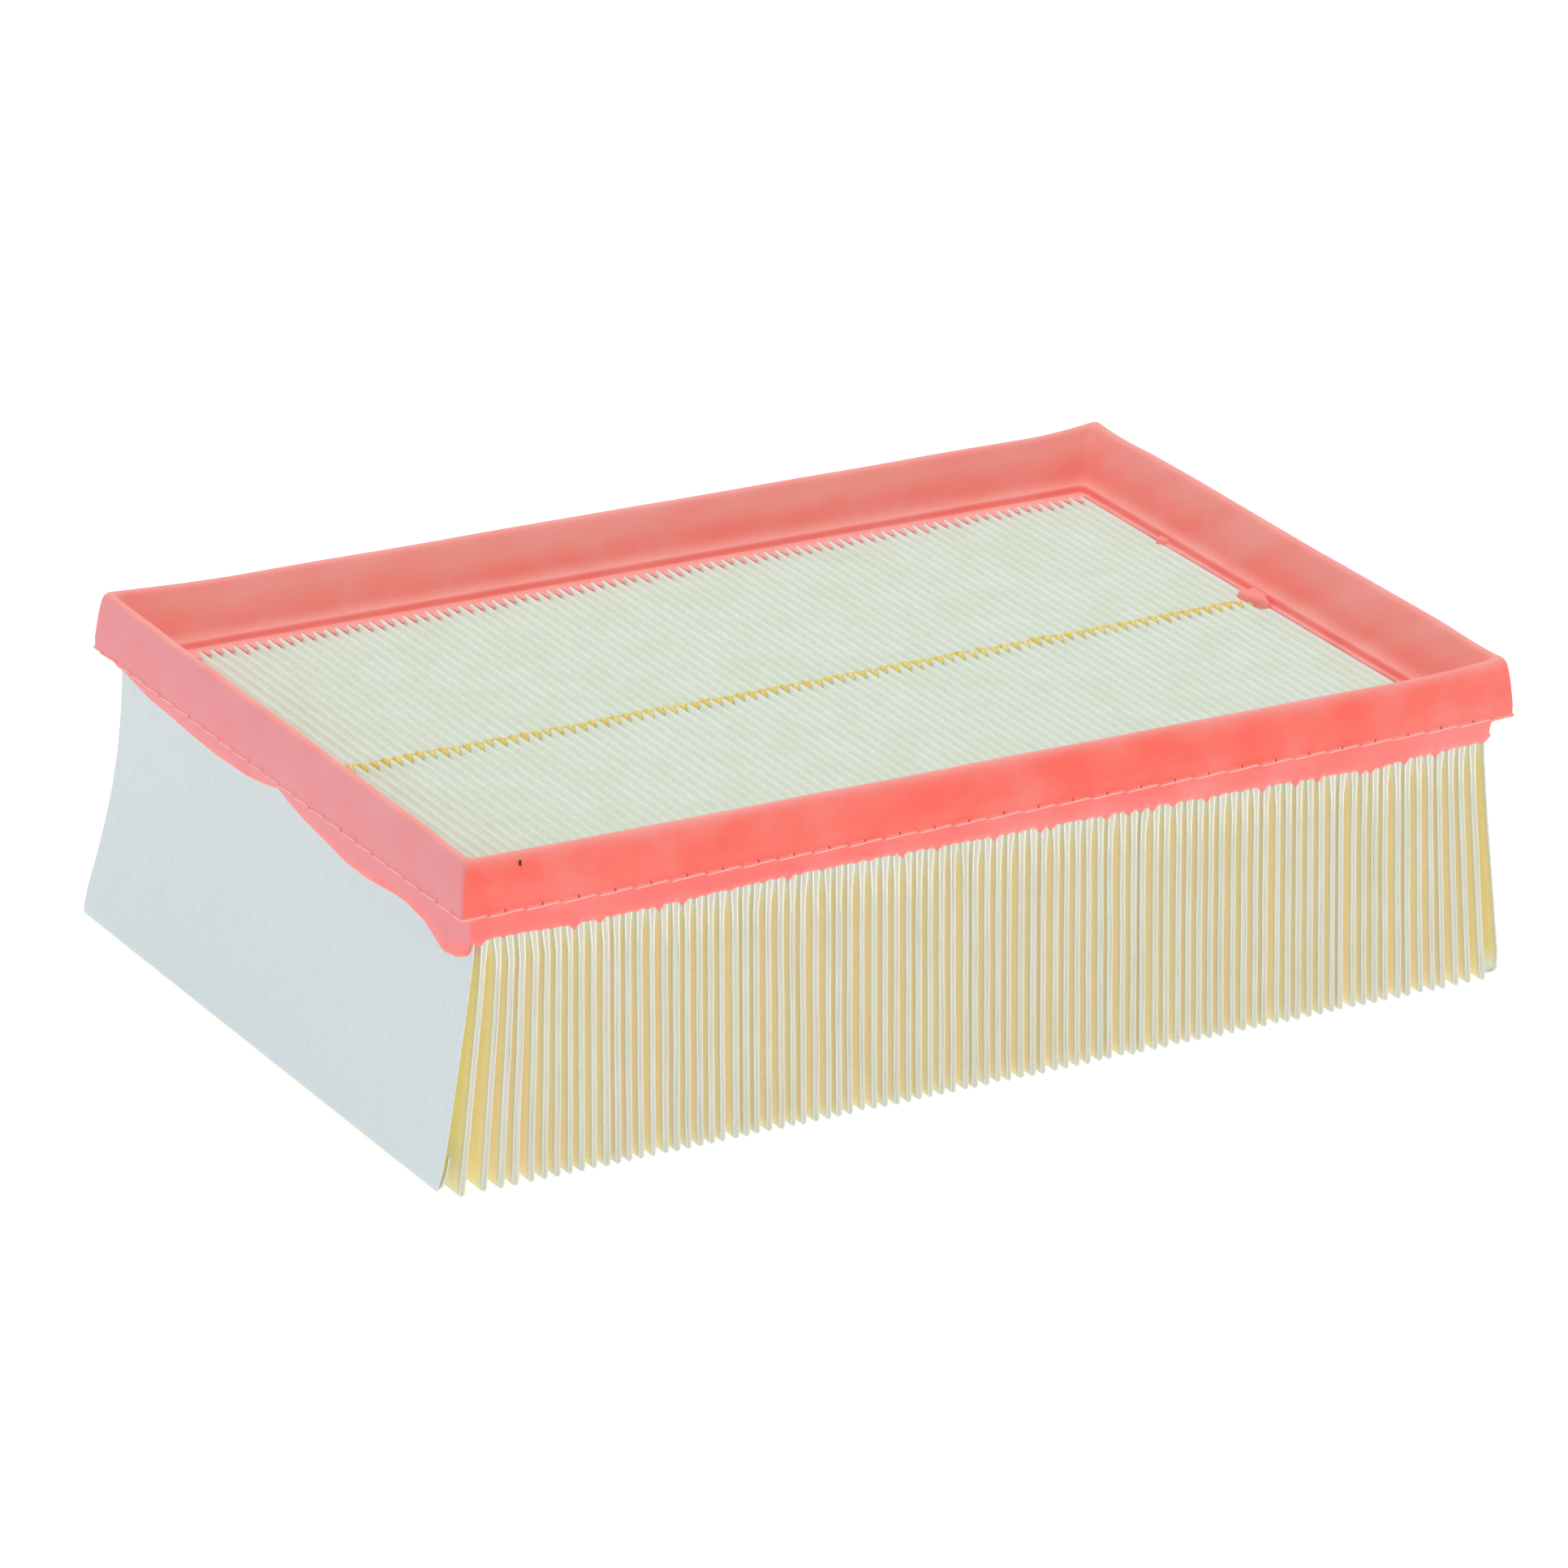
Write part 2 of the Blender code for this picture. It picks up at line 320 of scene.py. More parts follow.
def paper_material():
    """Filter paper: white on tips and cut ends; yellower down in the folds and gaps as painted shade,
    painted bluish-grey shade on the end panels, and painted light glowing in the folds.
    """
    material, nodes, links, shader = new_material("filter_paper")
    place_on = object_coordinates(nodes)
    fibre = noise(nodes, links, stretched(nodes, links, place_on, (1.0, 0.35, 1.0)), 1400.0, 5.0, 0.65)
    cloud = noise(nodes, links, place_on, 90.0, 3.0, 0.5)
    white = ramp(
        nodes, links, cloud,
        [(0.35, (0.73, 0.79, 0.72)), (0.50, (0.755, 0.81, 0.755)), (0.65, (0.77, 0.83, 0.80))],
    )
    # Painted shade: the valleys under the top ridges are tinted yellow-green
    valley = blend_colors(nodes, links, attribute(nodes, "valley"), white, (0.78, 0.82, 0.68))
    # Painted shade: yellow-tan on the sheet's lower face inside the gaps between the tongues
    painted_gap_shade = blend_colors(nodes, links, attribute(nodes, "painted_gap_shade"), valley, (0.77, 0.67, 0.405))
    # Painted shade: darker yellow still in the gaps of the end tongues
    painted_end_gap_shade = blend_colors(nodes, links, attribute(nodes, "painted_end_gap_shade"), painted_gap_shade, (0.72, 0.67, 0.285))
    streak = noise(nodes, links, stretched(nodes, links, place_on, (1.0, 1.0, 0.06)), 260.0, 3.0)
    # Painted shade: the end panels are the same white paper, painted bluish grey, with faint streaks of
    # their own
    painted_panel_shade = ramp(
        nodes, links, streak,
        [(0.25, (0.640, 0.712, 0.725)), (0.75, (0.655, 0.728, 0.745))],
    )
    panel = blend_colors(nodes, links, attribute(nodes, "panel"), painted_end_gap_shade, painted_panel_shade)
    fibre_color = ramp(nodes, links, fibre, [(0.3, (0.93, 0.93, 0.92)), (0.7, (1.0, 1.0, 1.0))])
    mix = nodes.new("ShaderNodeMix")
    mix.data_type = "RGBA"
    mix.blend_type = "MULTIPLY"
    mix.inputs["Factor"].default_value = 1.0
    links.new(panel, mix.inputs["A"])
    links.new(fibre_color, mix.inputs["B"])
    links.new(mix.outputs["Result"], shader.inputs["Base Color"])
    # Painted light: the folds shine by emission, standing in for light that comes through the sheet, so
    # they stay bright instead of going dark
    painted_glow = nodes.new("ShaderNodeMath")
    painted_glow.operation = "MULTIPLY"
    painted_glow.inputs[1].default_value = PAINTED_GLOW_STRENGTH
    links.new(attribute(nodes, "painted_glow"), painted_glow.inputs[0])
    links.new(mix.outputs["Result"], shader.inputs["Emission Color"])
    links.new(painted_glow.outputs["Value"], shader.inputs["Emission Strength"])
    shader.inputs["Roughness"].default_value = 0.82
    shader.inputs["Specular IOR Level"].default_value = 0.3
    first = add_bump(nodes, links, shader, fibre, 0.35, 0.00004)
    add_bump(nodes, links, shader, cloud, 0.3, 0.0003, first)
    return material


def edge_glue_material():
    """The off-white glue that shows between the cut edges of the paper."""
    material, nodes, links, shader = new_material("edge_glue")
    place_on = object_coordinates(nodes)
    blotch = noise(nodes, links, stretched(nodes, links, place_on, (1.0, 1.0, 0.2)), 500.0, 3.0)
    color = ramp(
        nodes, links, blotch,
        [(0.3, (0.61, 0.595, 0.46)), (0.5, (0.64, 0.625, 0.51)), (0.7, (0.68, 0.665, 0.57))],
    )
    links.new(color, shader.inputs["Base Color"])
    shader.inputs["Roughness"].default_value = 0.62
    add_bump(nodes, links, shader, blotch, 0.3, 0.0001)
    return material


def hot_melt_material():
    """Amber hot-melt glue, blotched paler and darker."""
    material, nodes, links, shader = new_material("hot_melt")
    place_on = object_coordinates(nodes)
    blotch = noise(nodes, links, place_on, 420.0, 3.0)
    color = ramp(
        nodes, links, blotch,
        [(0.35, (0.76, 0.58, 0.11)), (0.5, (0.80, 0.65, 0.17)), (0.7, (0.84, 0.76, 0.36))],
    )
    links.new(color, shader.inputs["Base Color"])
    shader.inputs["Roughness"].default_value = 0.34
    shader.inputs["Subsurface Weight"].default_value = 0.2
    shader.inputs["Subsurface Radius"].default_value = (1.0, 0.6, 0.15)
    shader.inputs["Subsurface Scale"].default_value = 0.001
    add_bump(nodes, links, shader, blotch, 0.2, 0.0001)
    return material


def dark_red_material():
    """Moulding pips: the same foam, painted dark red as the shaded side of each nub."""
    material, nodes, links, shader = new_material("nub_shade_polyurethane")
    blotch = noise(nodes, links, object_coordinates(nodes), 700.0, 2.0)
    color = ramp(nodes, links, blotch, [(0.3, (0.70, 0.065, 0.05)), (0.7, (0.82, 0.10, 0.075))])
    links.new(color, shader.inputs["Base Color"])
    shader.inputs["Roughness"].default_value = 0.5
    return material


def fleck_material():
    """A burnt speck in the foam."""
    material, nodes, links, shader = new_material("burnt_fleck")
    blotch = noise(nodes, links, object_coordinates(nodes), 900.0, 2.0)
    color = ramp(nodes, links, blotch, [(0.3, (0.03, 0.005, 0.005)), (0.7, (0.16, 0.02, 0.02))])
    links.new(color, shader.inputs["Base Color"])
    shader.inputs["Roughness"].default_value = 0.7
    return material


# ------------------------------------------------------------------ shape of the pack


def tongue_centre(index):
    return (index - (PLEATS - 1) / 2) * PITCH


def tip_lean(index):
    """How far a tongue's tip stands out along X: the end tongues have sprung open.

    The two end panels count as tongues -1 and PLEATS.
    """
    if index == -1:
        return LEFT_PANEL_LEAN
    if index == PLEATS:
        return RIGHT_PANEL_LEAN
    left = 6.6 * math.exp(-index / 3.2) + 0.4 * math.exp(-index / 10.0)
    from_right = PLEATS - 1 - index
    return 3.4 * math.exp(-from_right / 4.0) + 1.2 * math.exp(-from_right / 20.0) - left


def lean_share(height, power=LEAN_POWER):
    """The share of the lean at a height: none inside the foam, all of it at the tips."""
    return np.clip((FREE_HEIGHT - height) / FREE_HEIGHT, 0.0, 1.0) ** power


def pack_half_depth(height):
    """Half the pack's depth along Y: it flares out towards the free tips."""
    return PACK_HALF_DEPTH + DEPTH_FLARE * lean_share(height)


def tongue_half(height):
    """Half a tongue's width on the sheet's centre line: it narrows just under the foam."""
    return TONGUE_TIP_HALF + (TONGUE_TOP_HALF - TONGUE_TIP_HALF) * smooth_step(height, 54.0, 67.0)


# ------------------------------------------------------------------ foam frame

# The section of the moulding: (inset from the outline along X, along Y, height, plan corner
# radius, how pale, how much painted shade, what moves it). How pale is mostly painted highlight,
# on the crest, the top of the inside wall, the ledge ridge and the parting-line lip, and it also
# marks the paler foam fingers over the pleats; the painted shade turns the foam dark red in the
# grooves, under the ledge and under the flange. It starts under the flange's outer edge and
# runs up the outside, over the crest, down the inside and back round the pack's edge.
OUTER_WALL = [
    (0.85, 0.85, 69.10, 1.0, 0.0, 0.0, ""),
    (0.40, 0.40, 68.98, 1.0, 0.80, 0.0, "lip"),
    (0.06, 0.06, 69.12, 0.9, 1.0, 0.0, "lip"),
    (0.06, 0.06, 69.50, 0.9, 1.0, 0.0, "lip"),
    (0.32, 0.32, 69.66, 0.9, 0.5, 0.0, "lip"),
    (0.36, 0.36, 70.1, 0.9, 0.0, 0.15, ""),
    (0.36, 0.36, 72.0, 0.9, 0.0, 0.0, ""),
    (0.60, 0.60, 74.5, 1.0, 0.0, 0.12, ""),
    (0.95, 0.95, 77.5, 1.1, 0.0, 0.10, ""),
    (1.35, 1.35, 80.0, 1.3, 0.05, 0.0, ""),
    (1.60, 1.60, 81.2, 1.5, 0.2, 0.0, ""),
    (1.88, 1.88, 81.9, 1.6, 0.4, 0.0, ""),
    (2.30, 2.30, 82.42, 1.8, 0.6, 0.0, ""),
    (2.90, 2.90, 82.68, 1.9, 0.75, 0.0, ""),
    (3.50, 3.50, 82.66, 2.0, 0.8, 0.0, ""),
    (4.10, 4.10, 82.35, 2.0, 0.7, 0.0, ""),
    (4.60, 4.60, 81.75, 2.1, 0.6, 0.0, ""),
]
INNER_WALL = [
    (5.05, 5.05, 80.9, 2.2, 0.62, 0.0, ""),
    (5.90, 5.90, 79.2, 2.3, 0.60, 0.0, ""),
    (6.90, 6.90, 77.2, 2.4, 0.50, 0.0, ""),
    (7.95, 7.95, 75.2, 2.5, 0.35, 0.0, ""),
    (8.80, 8.80, 73.5, 2.6, 0.3, 0.0, ""),
    (9.35, 9.35, 72.4, 2.7, 0.4, 0.0, ""),
    (9.75, 9.75, 71.75, 2.7, 0.55, 0.0, ""),
    (10.2, 10.2, 71.25, 2.6, 0.6, 0.0, ""),
    (10.75, 10.75, 70.85, 2.5, 0.7, 0.0, ""),
    (11.1, 11.1, 70.72, 2.4, 0.75, 0.0, ""),
    (11.4, 11.4, 70.45, 2.3, 0.4, 0.1, ""),
    (11.6, 11.6, 70.0, 2.2, 0.25, 0.15, ""),
    (11.7, 11.7, 69.4, 2.1, 0.35, 0.15, ""),
    (11.85, 11.85, 69.15, 2.0, 0.3, 0.2, ""),
    (12.1, 12.2, 69.0, 2.0, 0.7, 0.0, "bleed_root"),
    (12.3, 12.7, 68.85, 2.0, 0.9, 0.0, "bleed_half"),
    (12.5, 13.2, 68.55, 2.0, 0.8, 0.0, "bleed_tip"),
    (12.5, 13.1, 67.6, 2.0, 0.3, 0.2, "bleed_tip"),
]
UNDERSIDE = [
    (11.5, 11.5, 66.5, 2.0, 0.0, 0.6, ""),
    (6.9, 5.3, 66.3, 0.6, 0.0, 0.4, ""),
    (6.7, 5.1, 64.6, 0.6, 0.0, 0.2, "edge_half"),
    (6.65, 5.05, 61.6, 0.6, 0.0, 0.2, "edge"),
    (6.3, 4.7, 61.35, 0.7, 0.1, 0.1, "edge"),
    (5.8, 4.2, 61.6, 0.9, 0.2, 0.0, "edge"),
    (5.3, 3.7, 62.3, 1.1, 0.1, 0.0, "edge"),
    (4.95, 3.3, 63.3, 1.3, 0.0, 0.0, "edge_half"),
    (4.75, 3.05, 64.6, 1.4, 0.0, 0.0, ""),
    (4.65, 2.95, 65.8, 1.4, 0.0, 0.0, ""),
    (4.5, 2.85, 66.8, 1.5, 0.0, 0.1, ""),
    (4.1, 2.6, 67.7, 1.6, 0.0, 0.2, ""),
    (3.3, 2.2, 68.4, 1.6, 0.0, 0.3, ""),
    (2.2, 1.7, 68.9, 1.5, 0.0, 0.3, ""),
    (1.4, 1.3, 69.15, 1.2, 0.0, 0.15, ""),
]

# Steps round each corner of the frame, and along each long and short side
ARC_STEPS = 9
LONG_STEPS = 6 * 91
SHORT_STEPS = 180

# How far each corner of the rim rises, and over what distance: keyed by the signs of x, y
CORNER_RISE = {(-1, 1): (1.5, 40.0), (1, 1): (2.0, 24.0), (1, -1): (1.7, 30.0), (-1, -1): (0.4, 24.0)}

# How much higher the rim runs between the corners of the two short sides
END_RISE = {-1: 0.8, 1: 1.3}

# Height of the foam's lower edge: along the left end against y, along the front against x
LEFT_EDGE = (
    [-97, -90, -85, -79, -77, -69, -60, -52, -40, -28, -19, -8, 2, 6.4, 9, 15, 24, 41, 59, 77, 86, 90, 97],
    [59.2, 57.2, 55.2, 54.4, 55.0, 57.8, 59.0, 58.8, 57.7, 57.8, 59.0, 60.1, 61.8, 63.6, 62.9, 61.7, 60.6,
     60.0, 60.8, 61.7, 63.0, 64.6, 66.5],
)
FRONT_EDGE = (
    [-145, -139, -134, -128, -115, -87, -60, -28, 0, 40, 85, 108, 120, 145],
    [58.6, 60.4, 61.4, 61.3, 60.8, 61.4, 62.3, 62.5, 62.2, 61.8, 61.1, 60.2, 61.2, 61.8],
)


def outline(half_x, half_y, radius):
    """(x, y) of a rounded rectangle, with the same stations whatever its size."""
    parts = []
    for quarter in range(4):
        sign_x, sign_y = ((1, 1), (-1, 1), (-1, -1), (1, -1))[quarter]
        centre = np.array([sign_x * (half_x - radius), sign_y * (half_y - radius)])
        angle = math.pi / 2 * (quarter + np.linspace(0, 1, ARC_STEPS + 1))
        parts.append(centre + radius * np.stack([np.cos(angle), np.sin(angle)], axis=1))
        along_x = quarter % 2 == 0
        steps = LONG_STEPS if along_x else SHORT_STEPS
        share = (np.arange(1, steps) / steps)[:, None]
        length = 2 * (half_x - radius if along_x else half_y - radius)
        ahead = np.array([-sign_x, 0.0]) if along_x else np.array([0.0, -sign_y])
        parts.append(parts[-1][-1] + ahead * length * share)
    return np.concatenate(parts)


def rim_lift(x, y, height):
    """The crest rises to each corner, by its own amount, and waves a little between them."""
    share = np.clip((height - 70.0) / (CREST_HEIGHT - 70.0), 0, 1) ** 1.5
    lift = 0.12 * wave_noise(x, y, 21, longest=110.0, shortest=35.0)
    for (sign_x, sign_y), (rise, reach) in CORNER_RISE.items():
        along = np.maximum(HALF_LENGTH - sign_x * x, HALF_WIDTH - sign_y * y)
        near = np.clip(1 - along / reach, 0, 1)
        lift = lift + rise * near**1.8
    for sign_x, rise in END_RISE.items():
        on_end = smooth_step(sign_x * x, HALF_LENGTH - 14.0, HALF_LENGTH - 5.0)
        between = 1 - smooth_step(np.abs(y), HALF_WIDTH - 32.0, HALF_WIDTH - 3.0)
        lift = lift + rise * on_end * between
    return lift * share


def side_shares(x, y):
    """How much a point belongs to the left, right, front and back sides of the frame."""
    beside_x = HALF_LENGTH - np.abs(x)
    beside_y = HALF_WIDTH - np.abs(y)
    on_end = smooth_step(beside_y - beside_x, -1.0, 1.0)
    return on_end * (x < 0), on_end * (x > 0), (1 - on_end) * (y < 0), (1 - on_end) * (y > 0)


def gap_drips(x, seed):
    """Foam that ran down between the tongues: a small V in each gap, deeper in some."""
    draw = np.random.default_rng(seed)
    depths = draw.uniform(0.15, 0.75, PLEATS + 1) + 1.1 * (draw.random(PLEATS + 1) < 0.28)
    shifts = draw.uniform(-0.3, 0.3, PLEATS + 1)
    total = np.zeros_like(x)
    for index in range(PLEATS + 1):
        centre = tongue_centre(index - 0.5) + shifts[index]
        near = np.clip(1 - np.abs(x - centre) / (0.5 * PITCH), 0, 1)
        total += depths[index] * near**1.6
    return total


def lower_edge_shift(x, y):
    """How far the skirt's lower edge lies from its height in the section."""
    left, right, front, back = side_shares(x, y)
    left_edge = np.interp(y, *LEFT_EDGE)
    right_edge = 61.8 + 1.2 * wave_noise(x, y, 5, longest=80.0, shortest=18.0)
    front_edge = np.interp(x, *FRONT_EDGE) + 0.55 - gap_drips(x, 3)
    back_edge = 63.2 + 1.0 * wave_noise(x, y, 8, longest=90.0, shortest=20.0) - gap_drips(x, 4)
    back_edge = back_edge + (66.5 - back_edge) * smooth_step(-x, 128.0, 136.0)
    total = left * left_edge + right * right_edge + front * front_edge + back * back_edge
    return total - SKIRT_EDGE_HEIGHT


def bleed_reach(x, y):
    """How far foam has crept over the pleats: fingers in the valleys of the long sides."""
    left, right, front, back = side_shares(x, y)
    draw = np.random.default_rng(31)
    finger = draw.uniform(2.6, 4.8, PLEATS)
    along = x / PITCH + (PLEATS - 1) / 2
    index = np.clip(np.rint(along).astype(int), 0, PLEATS - 1)
    in_valley = 0.5 + 0.5 * np.cos(2 * math.pi * along)
    fingers = finger[index] * in_valley**1.5
    ends = 0.15 + 0.2 * wave_noise(x, y, 12, longest=30.0, shortest=5.0)
    return (front + back) * fingers + (left + right) * ends


def lip_steps(x, y):
    """Where the flash along the parting line breaks off, and how it climbs between breaks."""
    left, right, front, back = side_shares(x, y)
    along = (front + back) * (x / NUB_SPACING) + (left + right) * (y / END_NUB_SPACING)
    fraction = along + 0.5 - np.floor(along + 0.5)
    spacing = (front + back) * NUB_SPACING + (left + right) * END_NUB_SPACING
    from_break = np.minimum(fraction, 1 - fraction) * spacing
    climb = np.where(left > 0.5, 1 - fraction, fraction)
    return 1 - smooth_step(from_break, 0.25, 0.8), climb


def foam_frame(material):
    """One loft round the frame, from about fifteen hundred stations of the same section."""
    section = OUTER_WALL + INNER_WALL + UNDERSIDE
    rings, pale, painted_shade, painted_cool_light = [], [], [], []
    for inset_x, inset_y, height, radius, paleness, depth, moved in section:
        flat = outline(HALF_LENGTH - inset_x, HALF_WIDTH - inset_y, radius)
        x, y = flat[:, 0].copy(), flat[:, 1].copy()
        left, right, front, back = side_shares(x, y)
        z = np.full(len(x), float(height)) + rim_lift(x, y, height)
        beside_nub, climb = lip_steps(x, y)
        if moved == "lip":
            from_corner = np.maximum(HALF_LENGTH - np.abs(x), HALF_WIDTH - np.abs(y))
            z += 0.5 * (climb - 0.5) * smooth_step(from_corner, 1.0, 6.0)
        if moved.startswith("edge"):
            # The skirt hugs the pack, so it flares and leans with it
            z += lower_edge_shift(x, y) * (1.0 if moved == "edge" else EDGE_HALF_SHARE)
            out = lean_share(z)
            y += np.sign(y) * DEPTH_FLARE * out
            panel_lean = np.where(x < 0, LEFT_PANEL_LEAN, RIGHT_PANEL_LEAN)
            x += panel_lean * out * smooth_step(np.abs(x), 128.0, 138.0)
            x += 0.8 * smooth_step(x, 136.0, 138.5)
        if moved.startswith("bleed"):
            reach = bleed_reach(x, y) * BLEED_SHARES[moved]
            y -= np.sign(y) * reach * (front + back)
            x -= np.sign(x) * reach * (left + right)
            z -= 0.07 * reach * (front + back)
        wobble = 0.07 * wave_noise(x + 3 * height, y, 41, longest=70.0, shortest=14.0)
        x += wobble * left - wobble * right * 0.5
        y += wobble * front - wobble * back * 0.5
        rings.append(np.stack([x, y, z], axis=1))
        # Each row's paleness, mostly painted highlight and broken into dashes beside the nubs on the lip,
        # with pale patches of bloom of the foam's own
        patch = 0.5 + 0.5 * wave_noise(x, y + 2 * height, 77, longest=60.0, shortest=14.0)
        dashes = 1 - 0.9 * beside_nub if moved == "lip" else 1.0
        pale.append(np.clip(paleness * dashes + 0.2 * (patch - 0.5), 0, 1))
        # Painted shade: how dark red this row is painted
        painted_shade.append(np.full(len(x), depth))
        # Painted bluish light on the left end's outer wall, less on the lip, and painted shade on the
        # front skirt
        outside = height < CREST_HEIGHT - 0.4 and inset_x < 5.0
        on_lip = 1.0 if moved == "lip" else 0.0
        on_skirt = 1.0 if height < 68.95 and inset_x < 7.0 else 0.0
        painted_cool_light.append(0.55 * left * outside * (1 - 0.6 * on_lip) + 0.2 * front * on_skirt)
    points = np.array(rings)
    faces = grid_faces(points.shape[0], points.shape[1], True, True)
    piece = new_piece(
        "foam_frame", points.reshape(-1, 3), faces, material, ["polyurethane_frame"]
    )
    store_value(piece, "pale", pale)
    store_value(piece, "painted_shade", painted_shade)
    store_value(piece, "painted_cool_light", painted_cool_light)


def paint_plain_foam(piece, paleness):
    """One paleness all over, for a small part that has the foam's material."""
    count = len(piece.data.vertices)
    store_value(piece, "pale", np.full(count, paleness))
    store_value(piece, "painted_shade", np.zeros(count))
    store_value(piece, "painted_cool_light", np.zeros(count))


def flat_blob(shapes, outline_points, low, high):
    """A low cushion of foam: an outline rounded over its top."""
    outline_points = np.asarray(outline_points, float)
    middle = outline_points.mean(axis=0)
    levels = [(1.0, low), (1.0, low + 0.45 * (high - low)), (0.93, low + 0.8 * (high - low)),
              (0.75, high - 0.04), (0.45, high), (0.15, high)]
    sections = []
    for size, height in levels:
        ring = middle + (outline_points - middle) * size
        sections.append(np.column_stack([ring, np.full(len(ring), height)]))
    shapes.add_loft(sections)


def rounded_outline(corners, steps=5):
    """A closed Catmull-Rom curve through the corners."""
    corners = np.asarray(corners, float)
    points = []
    for index in range(len(corners)):
        before, start, end, after = (corners[(index + k) % len(corners)] for k in (-1, 0, 1, 2))
        for t in np.linspace(0, 1, steps, endpoint=False):
            curve = 2 * start + (end - before) * t
            curve = curve + (2 * before - 5 * start + 4 * end - after) * t * t
            curve = curve + (3 * start - before - 3 * end + after) * t**3
            points.append(0.5 * curve)
    return points


def foam_lumps(material):
    """Lumps of foam on the right ledge: one over the end of the bead, and a small one."""
    shapes = Blobs()
    over_bead = [(134.6, 5.0), (132.6, 4.2), (129.6, 4.4), (128.4, 2.6), (129.2, -0.6),
                 (130.4, -3.6), (131.0, -6.6), (132.3, -6.2), (132.9, -3.4), (134.6, -2.4)]
    flat_blob(shapes, rounded_outline(over_bead), 67.8, 70.35)
    small = [(134.4, 47.6), (131.9, 46.6), (130.9, 45.2), (131.8, 43.6), (134.4, 43.0)]
    flat_blob(shapes, rounded_outline(small), 67.8, 69.7)
    piece = shapes.piece("foam_lumps", material, "polyurethane")
    paint_plain_foam(piece, 0.55)


def nub_places():
    """Middles of the nubs along the parting line: (x, y, whether along a long side)."""
    places = []
    for side in (-1, 1):
        for index in range(-14, 15):
            places.append(((index + 0.5) * NUB_SPACING - 5.6, side * (HALF_WIDTH - 0.3), True))
        for index in range(-11, 11):
            places.append((side * (HALF_LENGTH - 0.3), (index + 0.5) * END_NUB_SPACING, False))
    return places


def moulding_nubs(foam, dense):
    """A short tick of foam at each vent of the mould, painted pale as its highlight; on the long sides, a
    dark red pip beside it too, painted as the nub's shaded side.
    """
    ticks, pips = Blobs(), Blobs()
    draw = np.random.default_rng(51)
    for x, y, along_x in nub_places():
        height = PARTING_HEIGHT + 0.35 + draw.uniform(-0.12, 0.12)
        tall, wide = draw.uniform(0.4, 0.62), draw.uniform(0.16, 0.24)
        radii = (wide, 0.22, tall) if along_x else (0.22, wide, tall)
        ticks.add_ellipsoid((x, y, height), radii, 8, 6)
        if along_x:
            size = draw.uniform(0.42, 0.60)
            pips.add_ellipsoid((x + 0.5, y, height - 0.2), (size, 0.3, size), 8, 6)
    piece = ticks.piece("nub_highlights", foam, "polyurethane")
    # Painted highlight on each tick
    paint_plain_foam(piece, 0.9)
    pips.piece("nub_shade_pips", dense, "polyurethane")


def wall_fleck(material):
    """The dark speck near the top of the front wall."""
    shapes = Blobs()
    shapes.add_ellipsoid((-129.2, -(HALF_WIDTH - 1.38), 80.3), (0.42, 0.16, 0.95), 10, 8)
    shapes.piece("wall_fleck", material, "polyurethane")


# ------------------------------------------------------------------ pleated paper

WALL_HEIGHTS = np.array([67.6, 64.0, 61.5, 58.5, 55.0, 50.0, 42.0, 33.0, 24.0, 15.0, 7.0, 2.2])
TIP_ARC = np.radians([180, 210, 240, 270, 300, 330, 360])
RIDGE_ARC = np.radians([155, 125, 90, 55, 25])
RIDGE_HALF = PITCH / 2 - TONGUE_TOP_HALF

# Shares of the pack's half depth, closer together towards the cut edges of the paper
DEPTH_STATIONS = np.array(
    [0.0, 0.22, 0.44, 0.62, 0.78, 0.88, 0.925, 0.945]
    + [0.96, 0.97, 0.978, 0.985, 0.991, 0.9955, 0.9985, 1.0]
)

# The end panels: where they leave the foam, and the fold at each foot as (inwards, height)
LEFT_PANEL_X, RIGHT_PANEL_X = -138.9, 139.4
LEFT_FOOT = [(1.25, 9.5), (1.2, 5.0), (1.1, 2.0), (0.9, 1.0), (0.5, 0.6), (0.15, 0.95), (0.0, 1.8)]
RIGHT_FOOT = [(3.6, 2.0), (2.9, 1.2), (1.9, 0.75), (0.9, 0.5), (0.35, 0.7), (0.08, 1.2), (0.0, 2.0)]

# The first few tongues don't hang quite under their ridges
FIRST_SHIFTS = [-0.1, 0.75, 0.85, 0.5, 0.9, 0.75, 0.55, 0.5, 0.3, 0.3, 0.4]


def tongue_drift(draw):
    """Each tongue's own small errors at the front and the back, as (2, PLEATS + 2) arrays."""
    shift = np.clip(draw.normal(0, 0.2, PLEATS + 2) + draw.normal(0, 0.07, (2, PLEATS + 2)), -0.5, 0.5)
    shift[:, 1:1 + len(FIRST_SHIFTS)] = FIRST_SHIFTS
    rise = np.clip(np.abs(draw.normal(0, 0.12, (2, PLEATS + 2))), 0, 0.5)
    shift[:, [0, -1]] = 0.0
    rise[0, 0] = 1.2
    width = np.clip(1 + 0.12 * draw.normal(0, 1, PLEATS + 2), 0.8, 1.25)
    return shift, rise, width


DRIFT_SHIFT, DRIFT_RISE, DRIFT_WIDTH = tongue_drift(np.random.default_rng(RANDOM_SEED))
LEANS = np.array([tip_lean(index) for index in range(-1, PLEATS + 1)])


def half_width(index, height):
    """Half a tongue's width, with the tongue's own error where it is free of the foam."""
    own = 1 + (DRIFT_WIDTH[index + 1] - 1) * (1 - smooth_step(height, 54.0, 64.0))
    return tongue_half(height) * own


def ridge_points(start, end, index):
    """The fold over a ridge between two wall tops."""
    middle, half = (start + end) / 2, (end - start) / 2
    top = RIDGE_TOP - PAPER / 2 - RIDGE_HALF
    return [
        (middle + half * math.cos(a), top + RIDGE_HALF * math.sin(a), index) for a in RIDGE_ARC
    ]


